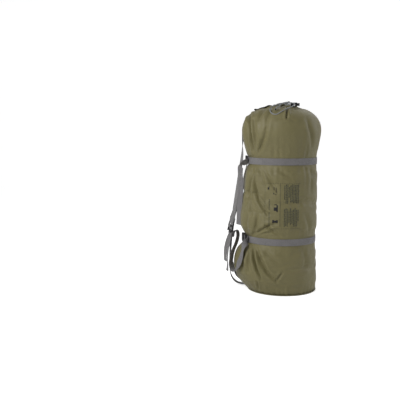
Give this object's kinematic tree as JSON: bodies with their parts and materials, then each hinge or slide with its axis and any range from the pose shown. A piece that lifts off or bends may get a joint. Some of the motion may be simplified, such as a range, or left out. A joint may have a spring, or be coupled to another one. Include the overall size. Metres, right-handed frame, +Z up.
{
  "type": "cylindrical drawcord carry sack",
  "caption": "Filled upright cloth carry sack with a round base, drawcord mouth, buckled compression straps and a two-strap shoulder harness with ladder locks.",
  "frame": {"origin": "centre of the flat round base, on the floor", "axes": "+Z up the bag, -X towards the shoulder harness, -Y the printed front"},
  "size_m": [0.3685, 0.2864, 0.7184],
  "materials": {
    "olive_cloth": "coated plain-weave cloth, soft sheen",
    "olive_base_cloth": "coated plain-weave cloth, darker",
    "packed_cloth": "soft packed cloth",
    "seam_binding": "folded binding tape",
    "black_binding": "woven black tape",
    "grey_cord": "braided cord",
    "cord_tip": "moulded tip",
    "eyelet_metal": "dark enamel",
    "black_plastic": "moulded matt black",
    "spring_steel": "drawn spring wire",
    "grey_webbing": "ribbed woven tape",
    "shoulder_webbing": "ribbed woven tape, wider"
  },
  "bodies": {
    "root": {"main_panel": "olive_cloth", "base_disc": "olive_base_cloth", "mouth_collar": "olive_cloth", "drawcord_channel": "olive_cloth", "packed_load": "packed_cloth", "base_piping": "seam_binding", "collar_binding": "black_binding", "harness_patch": "black_binding", "hem_cord": "grey_cord", "lock_strand_upper": "grey_cord", "lock_strand_lower": "grey_cord", "draw_cord": "grey_cord", "cord_tail_a": "grey_cord", "cord_tail_b": "grey_cord", "cord_knot": "grey_cord", "cord_tips": "cord_tip", "mouth_eyelets": "eyelet_metal", "upper_socket": "black_plastic", "upper_strap": "grey_webbing", "upper_socket_loop": "grey_webbing", "upper_strap_keepers": "grey_webbing", "lower_socket": "black_plastic", "lower_strap": "grey_webbing", "lower_socket_loop": "grey_webbing", "lower_strap_keepers": "grey_webbing", "near_shoulder_strap": "shoulder_webbing", "near_lock_loop": "grey_webbing", "near_lower_webbing": "grey_webbing", "far_shoulder_strap": "shoulder_webbing", "far_lock_loop": "grey_webbing", "far_lower_webbing": "grey_webbing"},
    "cord_lock": {"cord_lock_body": "black_plastic", "cord_lock_spring": "spring_steel"},
    "cord_lock_button": {"cord_lock_button": "black_plastic"},
    "upper_latch": {"upper_latch": "black_plastic", "upper_latch_prongs": "black_plastic", "upper_strap_lead": "grey_webbing", "upper_strap_tail": "grey_webbing"},
    "lower_latch": {"lower_latch": "black_plastic", "lower_latch_prongs": "black_plastic", "lower_strap_lead": "grey_webbing", "lower_strap_tail": "grey_webbing"},
    "near_ladder_lock": {"near_ladder_lock": "black_plastic", "near_adjuster_fold": "grey_webbing", "near_adjuster_tail": "grey_webbing"},
    "far_ladder_lock": {"far_ladder_lock": "black_plastic", "far_adjuster_fold": "grey_webbing", "far_adjuster_tail": "grey_webbing"}
  },
  "joints": [
    {"name": "upper_latch_release", "type": "slide", "parent": "root", "child": "upper_latch", "axis": [0.0698, -0.9976, 0], "range_m": [0, 0.027], "deforming": ["upper_latch_prongs", "upper_strap_lead"]},
    {"name": "lower_latch_release", "type": "slide", "parent": "root", "child": "lower_latch", "axis": [0.2756, -0.9613, 0], "range_m": [0, 0.027], "deforming": ["lower_latch_prongs", "lower_strap_lead"]},
    {"name": "near_ladder_lock_tilt", "type": "hinge", "parent": "root", "child": "near_ladder_lock", "pos_m": [-0.19342, 0.01582, 0.24395], "axis": [-0.3907, 0.9205, 0], "range_deg": [0, 30], "deforming": ["near_lock_loop"]},
    {"name": "far_ladder_lock_tilt", "type": "hinge", "parent": "root", "child": "far_ladder_lock", "pos_m": [-0.20139, 0.05577, 0.24595], "axis": [-0.515, 0.8572, 0], "range_deg": [0, 30], "deforming": ["far_lock_loop"]},
    {"name": "cord_lock_slide", "type": "slide", "parent": "root", "child": "cord_lock", "axis": [0, -1, 0], "range_m": [0, 0.008]},
    {"name": "cord_lock_press", "type": "slide", "parent": "cord_lock", "child": "cord_lock_button", "axis": [-1, 0, 0], "range_m": [0, 0.0046], "stiffness_N_per_m": 300, "springref_m": -0.004, "deforming": ["cord_lock_spring"]}
  ]
}
